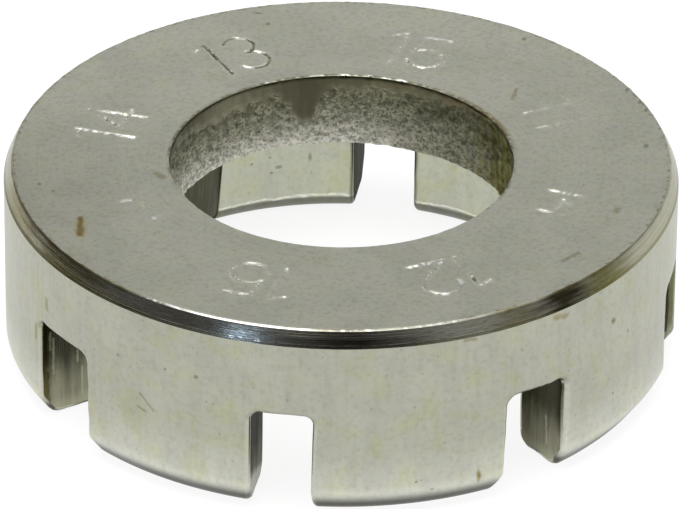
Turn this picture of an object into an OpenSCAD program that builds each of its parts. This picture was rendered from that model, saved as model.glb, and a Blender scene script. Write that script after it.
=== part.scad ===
// Round spoke wrench. A thick steel cup, turned mouth down, with a hole through its face.
// Eight parallel-sided slots run across the wall, and each takes the flats of one gauge of spoke nipple.
// The real wrench is one piece of steel. Here it is divided face to face at the slots' shoulders into
// the ring that carries the face and the eight jaws that stand between the slots.

/* [Body] */
// Outside diameter
outer_d = 36; // [34:0.5:42]
// Height from the jaw ends to the face
body_h = 11.2; // [10:0.1:14]
// Thickness of the web under the face
web_t = 4.4; // [3:0.1:5]
// Thickness of the wall that the slots cross
wall_t = 4.1; // [3.4:0.1:4.8]
// Radius in the inside corner between the web and the wall
inside_corner_r = 0.4; // [0.2:0.05:0.5]

/* [Centre hole] */
// Diameter of the smooth band at the top of the hole
hole_d = 18.3; // [14:0.1:20]
// Height of the smooth band
band_h = 1.2; // [0.6:0.1:2]
// How far the hole opens out below the band, on each side
hole_flare = 0.2; // [0.05:0.05:0.5]

/* [Slots] */
// Width of the first 15 gauge slot
slot_15a_w = 3.25; // [3:0.05:4.6]
// Width of the 12 gauge slot
slot_12_w = 3.65; // [3:0.05:4.6]
// Width of the first 14 gauge slot
slot_14a_w = 3.45; // [3:0.05:4.6]
// Width of the 11 gauge slot
slot_11_w = 3.95; // [3:0.05:4.6]
// Width of the second 15 gauge slot
slot_15b_w = 3.4; // [3:0.05:4.6]
// Width of the 13 gauge slot
slot_13_w = 3.55; // [3:0.05:4.6]
// Width of the second 14 gauge slot
slot_14b_w = 3.45; // [3:0.05:4.6]
// Width of the 10 gauge slot
slot_10_w = 4.45; // [3:0.05:4.8]
// Distance from the web's underside down to the slot roots
root_below_web = 0.6; // [0.5:0.1:2]
// Radius in the corners of a slot root
slot_corner_r = 0.5; // [0.2:0.05:0.8]

/* [Edges] */
// Width of the turned chamfer round the face
face_chamfer_w = 0.45; // [0.2:0.05:1]
// Height of the turned chamfer round the face
face_chamfer_h = 0.9; // [0.3:0.05:1.5]
// Chamfer on the outer edge of the jaw ends
foot_chamfer = 1.35; // [0.5:0.05:1.6]
// Radius on the inner edge of the jaw ends
foot_round_r = 1.25; // [0.5:0.05:1.6]

/* [Gauge numerals] */
// Height of a numeral
numeral_h = 3.1; // [2.4:0.1:3.6]
// Width of a wide numeral
numeral_w = 2; // [1.4:0.1:2.4]
// Reach of the flag on a numeral 1
flag_w = 0.75; // [0.4:0.05:1]
// Gap between two numerals of a pair
numeral_gap = 0.5; // [0.3:0.05:0.8]
// Width of a stamped line
line_w = 0.3; // [0.2:0.05:0.4]
// Depth of a stamped line
line_depth = 0.15; // [0.05:0.05:0.4]
// Distance from the hole's edge out to the feet of the numerals
numeral_inset = 2.3; // [1.5:0.1:2.6]

/* [Hidden] */
$fn = 96;
// One overrun serves all cuts
overrun = 1;
outer_r = outer_d / 2;
inner_r = outer_r - wall_t;
hole_r = hole_d / 2;
web_z = body_h - web_t;
slot_h = web_z - root_below_web;
corner_z = slot_h - slot_corner_r;
// The jaws meet the face ring on the straight sides of the slots, a corner radius below the corners
shoulder_z = corner_z - slot_corner_r;
// Slots in their order round the wall, counted from the front towards the right
slot_widths = [slot_15a_w, slot_12_w, slot_14a_w, slot_11_w, slot_15b_w, slot_13_w, slot_14b_w, slot_10_w];
slot_gauges = [15, 12, 14, 11, 15, 13, 14, 10];
slot_count = len(slot_widths);
slot_pitch = 360 / slot_count;
// Each pair of numerals is stamped by hand a few degrees before its slot
numeral_lags = [8.9, 10.2, 11, 10.8, 9.2, 7.6, 7.6, 8.3];
numeral_foot_r = hole_r + numeral_inset;
// Shares of a numeral's width and height, for the points of its lines
flag_drop_share = 0.12;
bar_ends_shares = [0.16, 0.86];
five_neck_shares = [0.08, 0.52];
four_stem_share = 0.72;
four_bar_share = 0.32;
three_upper_share = 0.24;
steel = [0.69, 0.69, 0.64];
face_steel = [0.62, 0.62, 0.58];

// A straight stamped line from one point to another, with square ends past both points
module line(from, to) {
    reach = to - from;
    translate(from)
        rotate(atan2(reach[1], reach[0]))
            translate([-line_w / 2, -line_w / 2])
                square([norm(reach) + line_w, line_w]);
}

// A round stamped line about a centre, from one angle round to another
module bow(centre, r, from, to) {
    far = r + line_w;
    steps = ceil((to - from) / 60);
    rays = [for (k = [0 : steps]) from + (to - from) * k / steps];
    translate(centre)
        intersection() {
            difference() {
                circle(r + line_w / 2);
                circle(r - line_w / 2);
            }
            polygon(concat([[0, 0]], [for (a = rays) 2 * far * [cos(a), sin(a)]]));
        }
}

// Each numeral stands on its foot at y = 0 and starts at x = 0
module numeral_0() {
    r = (numeral_w - flag_w / 2) / 2;
    top = numeral_h - r;
    bow([r, r], r, 180, 360);
    bow([r, top], r, 0, 180);
    line([0, r], [0, top]);
    line([2 * r, r], [2 * r, top]);
}

module numeral_1() {
    line([flag_w, 0], [flag_w, numeral_h]);
    line([0, numeral_h * (1 - flag_drop_share)], [flag_w, numeral_h]);
}

module numeral_2() {
    r = numeral_w / 2;
    centre = [r, numeral_h - r];
    turn = -35;
    bow(centre, r, turn, 160);
    line([0, 0], centre + r * [cos(turn), sin(turn)]);
    line([0, 0], [numeral_w, 0]);
}

module numeral_3() {
    upper_r = numeral_h * three_upper_share;
    lower_r = numeral_h / 2 - upper_r;
    middle = numeral_w / 2;
    bow([middle, numeral_h - upper_r], upper_r, -90, 150);
    bow([middle, lower_r], lower_r, -150, 90);
}

module numeral_4() {
    stem = numeral_w * four_stem_share;
    bar = numeral_h * four_bar_share;
    line([stem, 0], [stem, numeral_h]);
    line([0, bar], [stem, numeral_h]);
    line([0, bar], [numeral_w, bar]);
}

module numeral_5() {
    r = numeral_w / 2;
    neck = [numeral_w * five_neck_shares[0], numeral_h * five_neck_shares[1]];
    bar = numeral_w * bar_ends_shares;
    line([bar[0], numeral_h], [bar[1], numeral_h]);
    line(neck, [bar[0], numeral_h]);
    bow([r, r], r, -160, 145);
}

module numeral(value) {
    if (value == 0) numeral_0();
    if (value == 1) numeral_1();
    if (value == 2) numeral_2();
    if (value == 3) numeral_3();
    if (value == 4) numeral_4();
    if (value == 5) numeral_5();
}

// A gauge is two numerals, the first always a 1, centred on x = 0
module gauge(value) {
    second = value - 10;
    second_w = second == 1 ? flag_w : numeral_w;
    pair_w = flag_w + numeral_gap + second_w;
    translate([-pair_w / 2, 0]) {
        numeral_1();
        translate([flag_w + numeral_gap, 0])
            numeral(second);
    }
}

// All the gauges, cut down into the face with their tops outwards
module stamped_gauges() {
    for (i = [0 : slot_count - 1])
        rotate(i * slot_pitch - numeral_lags[i])
            translate([0, -numeral_foot_r, body_h - line_depth])
                rotate(180)
                    linear_extrude(line_depth + overrun)
                        gauge(slot_gauges[i]);
}

// The slot's outline across the wall: straight sides, a flat root and two round corners
module slot_outline(w) {
    translate([-w / 2, -overrun])
        square([w, corner_z + overrun]);
    translate([slot_corner_r - w / 2, -overrun])
        square([w - 2 * slot_corner_r, slot_h + overrun]);
    for (side = [-1, 1])
        translate([side * (w / 2 - slot_corner_r), corner_z])
            circle(slot_corner_r);
}

// The space that one slot takes, from the cup's inside out past the wall
module slot_space(i) {
    rotate(i * slot_pitch)
        translate([0, -hole_r, 0])
            rotate([90, 0, 0])
                linear_extrude(outer_r - hole_r + overrun)
                    slot_outline(slot_widths[i]);
}

// Outside of the ring, from the axis: shoulders, wall, turned chamfer and face
module ring_outside() {
    polygon([
        [0, shoulder_z],
        [outer_r, shoulder_z],
        [outer_r, body_h - face_chamfer_h],
        [outer_r - face_chamfer_w, body_h],
        [0, body_h]
    ]);
}

// Inside of the cup up to the web, with its round corner
module cup_inside() {
    square([inner_r - inside_corner_r, web_z]);
    square([inner_r, web_z - inside_corner_r]);
    translate([inner_r - inside_corner_r, web_z - inside_corner_r])
        circle(inside_corner_r);
}

// The hole through the web: a smooth band at the top, opening out below it
module hole_inside() {
    polygon([
        [0, web_z - overrun],
        [hole_r + hole_flare, web_z - overrun],
        [hole_r + hole_flare, web_z],
        [hole_r, body_h - band_h],
        [hole_r, body_h + overrun],
        [0, body_h + overrun]
    ]);
}

module ring_section() {
    difference() {
        ring_outside();
        cup_inside();
        hole_inside();
    }
}

// Section of a jaw: straight wall with a chamfer outside and a round edge inside at its end
module jaw_section() {
    polygon([
        [inner_r + foot_round_r, 0],
        [outer_r - foot_chamfer, 0],
        [outer_r, foot_chamfer],
        [outer_r, shoulder_z],
        [inner_r, shoulder_z],
        [inner_r, foot_round_r],
        [inner_r + foot_round_r, foot_round_r]
    ]);
    translate([inner_r + foot_round_r, foot_round_r])
        circle(foot_round_r);
}

// The sector from the middle of one slot to the middle of the next
module sector(i) {
    far = 2 * outer_r;
    corners = [for (k = [0 : 2]) far * [sin(slot_pitch * k / 2), -cos(slot_pitch * k / 2)]];
    rotate(i * slot_pitch)
        translate([0, 0, -overrun])
            linear_extrude(body_h + 2 * overrun)
                polygon(concat([[0, 0]], corners));
}

module face_ring() {
    color(face_steel)
        difference() {
            rotate_extrude()
                ring_section();
            for (i = [0 : slot_count - 1])
                slot_space(i);
            stamped_gauges();
        }
}

// The jaw between slot i and the next slot round
module jaw(i) {
    color(steel)
        difference() {
            intersection() {
                rotate_extrude()
                    jaw_section();
                sector(i);
            }
            slot_space(i);
            slot_space((i + 1) % slot_count);
        }
}

face_ring();
jaw(0);  // jaw_15_12
jaw(1);  // jaw_12_14
jaw(2);  // jaw_14_11
jaw(3);  // jaw_11_15
jaw(4);  // jaw_15_13
jaw(5);  // jaw_13_14
jaw(6);  // jaw_14_10
jaw(7);  // jaw_10_15
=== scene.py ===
"""Looks of a round spoke wrench, made round its packed CAD frame.

The wrench is one piece of plated steel: a thick cup that stands mouth down, with a punched hole through its
turned face, stamped gauge numerals, and eight slots across its wall. Each CAD node has one detailed piece.
Shapes are worked out in millimetres and become meshes in metres. An azimuth counts from the front, which is
-Y, towards the right.
"""

import math
from functools import reduce
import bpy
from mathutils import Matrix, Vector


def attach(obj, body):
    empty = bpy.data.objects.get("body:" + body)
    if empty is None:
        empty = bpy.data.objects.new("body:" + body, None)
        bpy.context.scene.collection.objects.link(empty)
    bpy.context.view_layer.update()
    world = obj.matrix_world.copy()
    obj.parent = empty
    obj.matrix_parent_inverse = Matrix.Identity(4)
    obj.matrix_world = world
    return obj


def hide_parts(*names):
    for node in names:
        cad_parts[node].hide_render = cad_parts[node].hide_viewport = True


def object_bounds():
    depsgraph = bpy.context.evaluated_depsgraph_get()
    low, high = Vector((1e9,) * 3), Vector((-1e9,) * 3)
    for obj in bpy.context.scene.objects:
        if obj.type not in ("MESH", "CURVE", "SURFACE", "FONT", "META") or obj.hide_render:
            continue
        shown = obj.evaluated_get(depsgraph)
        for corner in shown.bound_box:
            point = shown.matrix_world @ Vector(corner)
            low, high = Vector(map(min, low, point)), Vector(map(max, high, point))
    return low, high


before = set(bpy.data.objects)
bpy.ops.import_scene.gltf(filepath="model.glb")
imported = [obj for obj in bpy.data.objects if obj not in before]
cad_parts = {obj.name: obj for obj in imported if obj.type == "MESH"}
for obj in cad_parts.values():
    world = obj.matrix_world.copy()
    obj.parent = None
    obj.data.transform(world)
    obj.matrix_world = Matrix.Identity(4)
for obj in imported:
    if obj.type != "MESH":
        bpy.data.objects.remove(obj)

from types import SimpleNamespace

import bpy
import numpy as np
from bpy.props import FloatProperty, FloatVectorProperty, PointerProperty
from mathutils import Matrix, Vector

bl_info = {
    "name": "Spoke wrench looks",
    "version": (1, 0, 0),
    "blender": (4, 5, 0),
    "location": "3D View > Sidebar > Wrench",
    "description": "Makes the detailed pieces of a round spoke wrench and a pale stage for it",
    "category": "Object",
}

CAD_LOW, CAD_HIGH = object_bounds()
BODY = "root"
MM = 0.001
TURN = 2 * math.pi

# The slots in their order round the wall, counted from the front towards the right
GAUGES = (15, 12, 14, 11, 15, 13, 14, 10)
JAWS = [f"jaw_{gauge}_{following}" for gauge, following in zip(GAUGES, GAUGES[1:] + GAUGES[:1])]
PITCH = TURN / len(GAUGES)
# How each pair of numerals was stamped by hand: how far before its slot in degrees, how far its feet lie out
# from where they should in millimetres, and as shares how tall it came out, how wide its gap is, how deep and
# how dirty it is
STAMP_LAGS = (8.45, 9.8, 10.55, 10.1, 9, 7.6, 6.5, 7.3)
STAMP_SHIFTS = (0.3, 0.2, -0.05, -0.4, -0.5, -0.5, -0.2, 0)
STAMP_TALLS = (0.98, 1.02, 0.98, 0.98, 1.06, 1.1, 1.02, 0.96)
STAMP_GAPS = (1, 1, 1, 1.45, 1, 1, 1.15, 1)
STAMP_DEPTHS = (0.75, 0.9, 0.65, 0.4, 0.85, 1, 0.95, 0.4)
STAMP_DIRTS = (0.25, 0.35, 0, 0, 0.2, 1, 0.35, 0.25)
# How much of the pressure each pair lost towards its top
STAMP_TILTS = (0.2, 0, 0.85, 0.35, 0, 0, 0, 0.9)
# Where each pair glints: across and up from the middle of its foot, and the reach each way, in millimetres
GLINTS = (
    ((-1.73, 2.7, 0.1, 0.1), (-0.9, 0.05, 0.12, 0.14), (0.52, 3.2, 0.13, 0.14), (1.1, 3.2, 0.06, 0.08),
     (0.85, 0.13, 0.4, 0.2), (0.02, 1.87, 0.06, 0.08), (0.6, 2.17, 0.06, 0.08)),
    ((-1.24, 2.68, 0.18, 0.16), (-1.65, 2.65, 0.1, 0.1), (1.04, 3.15, 0.22, 0.18), (-0.16, 2.36, 0.2, 0.24),
     (-0.16, 0.23, 0.14, 0.16), (0.46, 0.1, 0.1, 0.2), (0.75, 0.1, 0.07, 0.2), (1.17, 0.07, 0.12, 0.2),
     (1.51, 0.07, 0.12, 0.2)),
    ((-0.98, 1.43, 0.2, 0.06), (-0.98, 1.1, 0.2, 0.05), (-0.98, 0.8, 0.2, 0.08), (-0.95, 0.32, 0.2, 0.26),
     (1.13, 0.48, 0.2, 0.34), (-0.3, 1.05, 0.12, 0.08)),
    ((-0.65, 0.2, 0.16, 0.14), (-0.62, 0.5, 0.1, 0.06)),
    ((-1.82, 2.77, 0.2, 0.14), (-1.08, 3.38, 0.1, 0.1), (0.35, 3.33, 0.32, 0.14), (1.46, 3.33, 0.16, 0.14),
     (0.65, 2.22, 0.26, 0.14), (1.2, 2.18, 0.12, 0.14), (-0.15, 0.83, 0.16, 0.18), (0.8, 0.13, 0.18, 0.16)),
    ((1.17, 3.3, 0.28, 0.24), (1.33, 1.52, 0.16, 0.14), (0.15, 0.3, 0.3, 0.24)),
    ((-1.05, 3.08, 0.2, 0.08), (-1.05, 2.75, 0.2, 0.09), (-0.97, 2.25, 0.2, 0.12), (-0.97, 1.6, 0.2, 0.12),
     (-0.95, 0.5, 0.2, 0.55), (1.2, 2.1, 0.12, 0.6), (1.12, 0.38, 0.16, 0.2), (1.6, 1.02, 0.18, 0.14),
     (1.25, 3.3, 0.16, 0.06)),
    ((-1.0, 0.2, 0.18, 0.1), (1.23, 0.72, 0.26, 0.28)))

# How far each slot's root lies below the drawn one, how its sides lean outwards below the lean's level, in
# millimetres for each millimetre, and how much rounder its outer edges are: on the left and on the right
ROOT_DROPS = (0.14, 0.25, 0.12, 0.1, 0.16, 0.12, 0.15, 0.02)
LEANS = ((0.01, -0.02), (0.043, 0), (0, 0.01), (0.01, 0), (0, 0), (-0.085, 0), (0, 0.01), (0, 0.01))
EDGE_WEARS = ((1, 1), (1.2, 1.15), (1, 1.1), (1, 1), (1.1, 0.9), (0.15, 1), (1, 1.1), (0.8, 0.9))
LEAN_LEVEL = 4.4
# How deep the smooth band in the hole is at azimuths in degrees, as shares of its height
BAND_DEPTHS = (
    (0, 1), (60, 0.8), (100, 0.25), (135, 0.22), (152, 0.32), (167, 0.47), (182, 0.65), (192, 0.93),
    (204, 0.95), (212, 0.7), (222, 0.88), (233, 1.25), (249, 0.62), (262, 0.4), (300, 0.8), (359, 1))

# Rows of the face ring in millimetres: under the web, in from the inner wall
UNDER_ROWS = (1.3, 2.3, 3.2, 3.8)
# The foot of the hole: out from its torn part, up from the web's underside, and the burr's share there
FOOT_ROWS = ((0.37, 0, 0), (0.15, 0.01, 1), (0.06, 0.04, 1))
# Where the rows of the hole start above the web's underside, and where they end below the face
HOLE_START, HOLE_END = 0.1, 0.12
# The hole's burred top edge: out from the hole with its swing, and up from the face with its swing
BURR_ROWS = (
    (0.012, 0.02, -0.05, 0), (0.05, 0.04, 0.006, 0.02), (0.12, 0.04, 0.004, 0.012), (0.22, 0.02, 0, 0))
# The face next to the hole, out from the hole
HOLE_SIDE_ROWS = (0.5, 0.85, 1.25, 1.6)
# Where the stamped part of the face starts and ends, out from the feet of the numerals
STAMPED_REACH = (-0.65, 3.7)
# The face next to the rim, in from the outer wall
RIM_SIDE_ROWS = (2.75, 2.2, 1.5, 0.9)
# How far the nearest rows on the face and on the wall lie from the chamfer, and its own rows as shares of it
FACE_GAP, WALL_GAP = 0.16, 0.03
CHAMFER_ROWS = (0.12, 0.24, 0.36, 0.5, 0.64, 0.78, 0.9, 0.97, 1)
# The outer wall: down from the face to the last level row
WALL_ROWS = (1.6, 2.5, 3.4)
LAST_LEVEL_ROW = 4.2

# Steps of the meshes, those of the face in millimetres and of a numeral's bow in degrees
SIDE_STEPS, BEND_STEPS, ROOT_STEPS = 5, 8, 16
EDGE_STEPS, ACROSS_STEPS, JAW_STEPS, WALL_STEPS = 4, 8, 30, 4
HOLE_COLUMNS, HOLE_ROWS = 480, 32
STAMP_STEP, STAMP_ROW_STEP, PLAIN_STEP, BOW_STEP = 0.06, 0.064, 0.38, 15
# The stamped part of the face reaches so many degrees either way, and its columns are spaced at that radius
STAMPED_HALF, STAMPED_RADIUS = 9.8, 13
SHARP_ANGLE = 60
EDGE_ANGLES = np.linspace(math.pi / 2, 0, EDGE_STEPS + 1)

# Finishes in the order of a piece's material slots
PLATED, TURNED, CHAMFER, PUNCHED, BROACHED = range(5)
# The colour of metal that catches the light, painted for highlights and glints
BRIGHT = (0.95, 0.95, 0.9)
# Stains, and painted shade where the chamfer reflects a darker room
# On the chamfer: middle and reach in degrees, how ragged each is, and what it leaves of the colour
CHAMFER_STAINS_AND_SHADES = (
    (-44, 16, 1.6, (0.45, 0.43, 0.3)), (-17, 15, 1.2, (0.66, 0.66, 0.66)), (11, 6, 1.2, (0.55, 0.53, 0.5)),
    (41, 6, 1.6, (0.7, 0.68, 0.55)), (50.5, 6.5, 2.2, (0.12, 0.11, 0.08)), (60, 8, 2.2, (0.55, 0.54, 0.3)),
    (-64, 11, 1.8, (0.68, 0.64, 0.48)))

# The lens and its sensor in millimetres, and how far the camera sees in metres
LENS, SENSOR, FAR_CLIP = 401.353, 36, 5
# How far the camera stands to the left and down from the line through the face's centre, in outer radii
CAMERA_LEFT, CAMERA_DOWN = 0.00412, 0.281
# Lamps that face the wrench: name, place, size, power and colour
LAMPS = (
    ("top_panel", (-0.08, -0.2, 0.46), (0.34, 0.34), 0.9, (1, 0.99, 0.96)),
    ("window_panel", (-0.18, -0.45, 0.15), (0.04, 0.05), 0.06, (0.5, 0.68, 1)))
# The floor: its reach and its gap under the jaws in metres, its glow, and the share of its colour in its shade
FLOOR_REACH, FLOOR_GAP, FLOOR_GLOW, FLOOR_SHADE = 1.5, 0.00002, 0.88, 0.26


def length(name, description, value):
    return FloatProperty(name=name, description=description, default=value, min=0, precision=5, unit="LENGTH")


def lengths(name, description, values):
    return FloatVectorProperty(
        name=name, description=description, size=len(values), default=values, unit="LENGTH")


def share(name, description, value):
    return FloatProperty(name=name, description=description, default=value, min=0, max=1, subtype="FACTOR")


def angle(name, description, degrees):
    return FloatProperty(name=name, description=description, default=math.radians(degrees), subtype="ANGLE")


def colour(name, description, value):
    return FloatVectorProperty(
        name=name, description=description, default=value, min=0, max=1, subtype="COLOR")


class WrenchShape(bpy.types.PropertyGroup):
    """Sizes of the wrench and of its edges"""

    outer_radius: length("Outer radius", "Radius of the outer wall", CAD_HIGH.x)
    height: length("Height", "Height from the jaw ends to the face", CAD_HIGH.z)
    web: length("Web", "Thickness of the web under the face", 0.0044)
    wall: length("Wall", "Thickness of the wall that the slots cross", 0.0041)
    inside_corner: length("Inside corner", "Radius between the web and the wall", 0.0004)
    hole_radius: length("Hole radius", "Radius of the smooth band in the hole", 0.00915)
    band: length("Band height", "Height of the smooth band at the top of the hole", 0.00105)
    torn: length("Torn depth", "How far the torn part of the hole lies back from the band", 0.00012)
    slot_widths: lengths("Slot widths", "Widths of the eight slots, from the front towards the right", (
        0.00325, 0.00365, 0.00345, 0.00395, 0.0034, 0.00355, 0.00345, 0.00445))
    root_below_web: length("Root below web", "Distance from the web's underside to the slot roots", 0.0006)
    slot_corner: length("Slot corner", "Radius in the corners of a slot root", 0.0005)
    outer_edge: length("Outer edge", "Radius on the outer edges of the slots", 0.00032)
    inner_edge: length("Inner edge", "Radius on the inner edges of the slots", 0.00025)
    chamfer_width: length("Chamfer width", "Width of the turned chamfer round the face", 0.00045)
    chamfer_height: length("Chamfer height", "Height of the turned chamfer round the face", 0.0009)
    foot_chamfer: length("Foot chamfer", "Height of the chamfer on the outside of the jaw ends", 0.00135)
    foot_chamfer_width: length("Foot chamfer width", "Width of that chamfer across the wall", 0.00095)
    foot_round: length("Foot round", "Radius on the inside of the jaw ends", 0.0009)
    foot_bends: lengths("Foot bends", "Radii above and below the chamfer on the jaw ends", (0.0006, 0.0009))
    numeral_height: length("Numeral height", "Height of a stamped numeral", 0.0032)
    numeral_width: length("Numeral width", "Width of a wide stamped numeral", 0.002)
    flag: length("Flag", "Reach of the flag on a numeral 1", 0.00075)
    numeral_gap: length("Numeral gap", "Gap between the two numerals of a pair", 0.0007)
    numeral_inset: length("Numeral inset", "Distance from the hole to the feet of the numerals", 0.0023)
    line_width: length("Line width", "Width of a stamped line", 0.00028)
    line_depth: length("Line depth", "Depth of a stamped line at its deepest", 0.00008)


class WrenchFinish(bpy.types.PropertyGroup):
    """Colours and gloss of the steel"""

    plating: colour("Plating", "Colour of the plated wall", (0.445, 0.452, 0.375))
    # A lighter plating, for worn edges and as painted light on the jaw ends and the foot
    rubbed_and_lit: colour("Rubbed plating", "Colour of the plating where the jaw ends are rubbed", (0.6, 0.61, 0.53))
    # A lighter plating, as painted light inside the cup
    inside: colour("Inside", "Colour of the plating inside the cup", (0.53, 0.545, 0.44))
    face: colour("Face", "Colour of the turned face", (0.44, 0.445, 0.37))
    chamfer: colour("Chamfer", "Colour of the turned chamfer", (0.48, 0.47, 0.4))
    band: colour("Band", "Colour of the smooth band in the hole", (0.155, 0.148, 0.1))
    torn: colour("Torn steel", "Colour of the torn part of the hole", (0.34, 0.335, 0.26))
    slot: colour("Slot", "Colour of the cut slot sides", (0.27, 0.266, 0.2))
    rust: colour("Rust", "What a rust mark leaves of the steel's colour", (0.46, 0.36, 0.13))
    oil: colour("Oil", "Colour of the old oil in the hole and on the chamfer", (0.1, 0.085, 0.03))
    dirt: colour("Dirt", "Colour of dark pits and specks", (0.09, 0.085, 0.06))
    wall_roughness: share("Wall roughness", "Roughness of the plated wall", 0.36)
    face_roughness: share("Face roughness", "Roughness of the turned face", 0.42)
    chamfer_roughness: share("Chamfer roughness", "Roughness of the turned chamfer", 0.2)


class WrenchStage(bpy.types.PropertyGroup):
    """Floor, light and camera"""

    floor: colour("Floor", "Colour of the floor", (0.82, 0.82, 0.82))
    room: FloatProperty(name="Room", description="Brightness of the room round the object", default=1, min=0)
    camera_distance: length("Camera distance", "Distance from the camera to the face", 0.40412)
    camera_azimuth: angle("Camera azimuth", "How far the camera stands to the right of the front", 9.7)
    camera_elevation: angle("Camera elevation", "Height of the camera above the face, as an angle", 30.631)
    camera_roll: angle("Camera roll", "Turn of the camera about its own line of sight", -0.534)


def wrapped(turn):
    """The same turn, kept within half a turn either way."""
    return (turn + math.pi) % TURN - math.pi


def turned_from(azimuths, middle):
    """How far azimuths lie from a middle one, either way, in degrees."""
    return np.abs(np.degrees(wrapped(azimuths - math.radians(middle))))


def polar(azimuth, radius, height):
    """Points from azimuths, radii and heights, which may be numbers or arrays."""
    azimuth, radius, height = np.broadcast_arrays(azimuth, radius, height)
    return np.stack([radius * np.sin(azimuth), -radius * np.cos(azimuth), height], -1)


def between(first, last, steps):
    """Evenly spaced values or points from the first to the last, without these two."""
    return np.linspace(first, last, steps + 1)[1:-1]


def grain(points, size, seed):
    """Smooth random values from -1 to 1 at points, in lumps of about the given size."""
    table = np.random.default_rng(seed).uniform(-1, 1, 4096)
    spot = np.asarray(points, float) / size
    cell = np.floor(spot).astype(np.int64)
    inside = spot - cell
    ease = inside * inside * (3 - 2 * inside)
    total = 0
    for corner in np.ndindex(2, 2, 2):
        x, y, z = np.moveaxis(cell + corner, -1, 0)
        # Large primes scatter the lumps over the table
        value = table[(x * 73856093 ^ y * 19349663 ^ z * 83492791) % len(table)]
        total = total + value * np.prod(np.where(np.array(corner) == 1, ease, 1 - ease), -1)
    return total


def smooth_step(value, low, high):
    """Runs smoothly from 0 at low to 1 at high."""
    ease = np.clip((value - low) / (high - low), 0, 1)
    return ease * ease * (3 - 2 * ease)


def sizes():
    """The sizes from the scene's properties, in millimetres, with those that follow from them."""
    shape = bpy.context.scene.wrench_shape
    mm = SimpleNamespace()
    for name in WrenchShape.__annotations__:
        value = getattr(shape, name)
        setattr(mm, name, value / MM if isinstance(value, float) else [part / MM for part in value])
    mm.inner_radius = mm.outer_radius - mm.wall
    mm.web_under = mm.height - mm.web
    mm.root = mm.web_under - mm.root_below_web
    mm.corner = mm.root - mm.slot_corner
    mm.seam = mm.corner - mm.slot_corner
    mm.numeral_foot = mm.hole_radius + mm.numeral_inset
    mm.face_end = mm.outer_radius - mm.chamfer_width
    return mm


def placed(name, data):
    """A new object in the scene."""
    made = bpy.data.objects.new(name, data)
    bpy.context.scene.collection.objects.link(made)
    return made


class Skin:
    """Points and faces of one piece, gathered patch by patch."""

    def __init__(self):
        self.clouds, self.marks = [], {"wear_and_glint": [], "tear": [], "dirt": []}
        self.faces, self.finishes = [], []
        self.count = 0

    def points(self, cloud, wear_and_glint=0, tear=0, dirt=0):
        """Adds points with their marks, and gives back their numbers in the same layout."""
        cloud = np.asarray(cloud, float)
        numbers = np.arange(self.count, self.count + cloud[..., 0].size).reshape(cloud.shape[:-1])
        self.clouds.append(cloud.reshape(-1, 3))
        for name, values in zip(self.marks, (wear_and_glint, tear, dirt)):
            self.marks[name].append(np.broadcast_to(values, numbers.shape).ravel())
        self.count += numbers.size
        return numbers

    def face(self, corners, finish, flip=False):
        self.faces.append([int(number) for number in (corners[::-1] if flip else corners)])
        self.finishes.append(finish)

    def sheet(self, numbers, finish, closed=False, flip=False):
        """Quads between the rows and columns of a patch; if closed, its last column joins its first."""
        ahead = np.roll(numbers, -1, axis=1)
        if not closed:
            numbers, ahead = numbers[:, :-1], ahead[:, :-1]
        quads = np.stack([numbers[:-1], numbers[1:], ahead[1:], ahead[:-1]], -1).reshape(-1, 4)
        self.faces += (quads[:, ::-1] if flip else quads).tolist()
        self.finishes += [finish] * len(quads)

    def stitch(self, first, second, first_azimuths, second_azimuths, finish):
        """Triangles between two closed loops of different counts, the second one after the first."""
        loops = []
        for numbers, azimuths in ((first, first_azimuths), (second, second_azimuths)):
            past = (azimuths - first_azimuths[0] + 1e-9) % TURN
            order = np.argsort(past)
            order = np.append(order, order[0])
            past = past[order]
            past[-1] += TURN
            loops.append((numbers[order], past))
        (near, near_at), (far, far_at) = loops
        i = j = 0
        while i < len(near) - 1 or j < len(far) - 1:
            if j == len(far) - 1 or (i < len(near) - 1 and near_at[i + 1] <= far_at[j + 1]):
                self.face([near[i], far[j], near[i + 1]], finish)
                i += 1
            else:
                self.face([near[i], far[j], far[j + 1]], finish)
                j += 1

    def piece(self, node):
        """Makes the piece that stands for a CAD node, and puts it on the wrench's body."""
        mesh = bpy.data.meshes.new(node + "_steel")
        mesh.from_pydata((np.vstack(self.clouds) * MM).tolist(), [], self.faces)
        for finish in finishes():
            mesh.materials.append(finish)
        mesh.polygons.foreach_set("material_index", self.finishes)
        for name, values in self.marks.items():
            layer = mesh.attributes.new(name, "FLOAT", "POINT")
            layer.data.foreach_set("value", np.concatenate(values).astype(np.float32))
        mesh.polygons.foreach_set("use_smooth", [True] * len(mesh.polygons))
        mesh.set_sharp_from_angle(angle=math.radians(SHARP_ANGLE))
        if mesh.validate():
            raise RuntimeError(f"the mesh for {node} had faults")
        piece = placed(node + "_detail", mesh)
        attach(piece, BODY)
        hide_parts(node)


def leant(i, across, up):
    """How far a point in slot i's outline is moved sideways by the lean of the slot's side."""
    return np.where(across < 0, -LEANS[i][0], LEANS[i][1]) * (LEAN_LEVEL - up)


def slot_outline(mm, i):
    """Columns up one side of slot i, over its root and down the other: places, and ways into the steel."""
    half, round_up, drop = mm.slot_widths[i] / 2, mm.slot_corner, ROOT_DROPS[i]
    rise = np.linspace(mm.seam, mm.corner - drop, SIDE_STEPS, endpoint=False)
    bend = np.linspace(math.pi, math.pi / 2, BEND_STEPS, endpoint=False)
    flat = np.linspace(round_up - half, half - round_up, ROOT_STEPS + 1)
    side, corner, root = (np.column_stack(np.broadcast_arrays(*columns)) for columns in (
        (-half, rise, -1, 0),
        (round_up - half + round_up * np.cos(bend), mm.corner - drop + round_up * np.sin(bend),
         np.cos(bend), np.sin(bend)),
        (flat, mm.root - drop, 0, 1)))
    left = np.vstack([side, corner])
    outline = np.vstack([left, root, left[::-1] * [-1, 1, -1, 1]])
    outline[:, 0] += leant(i, outline[:, 0], outline[:, 1]) * np.clip(np.abs(outline[:, 0]) / half, 0, 1)
    return outline


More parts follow.
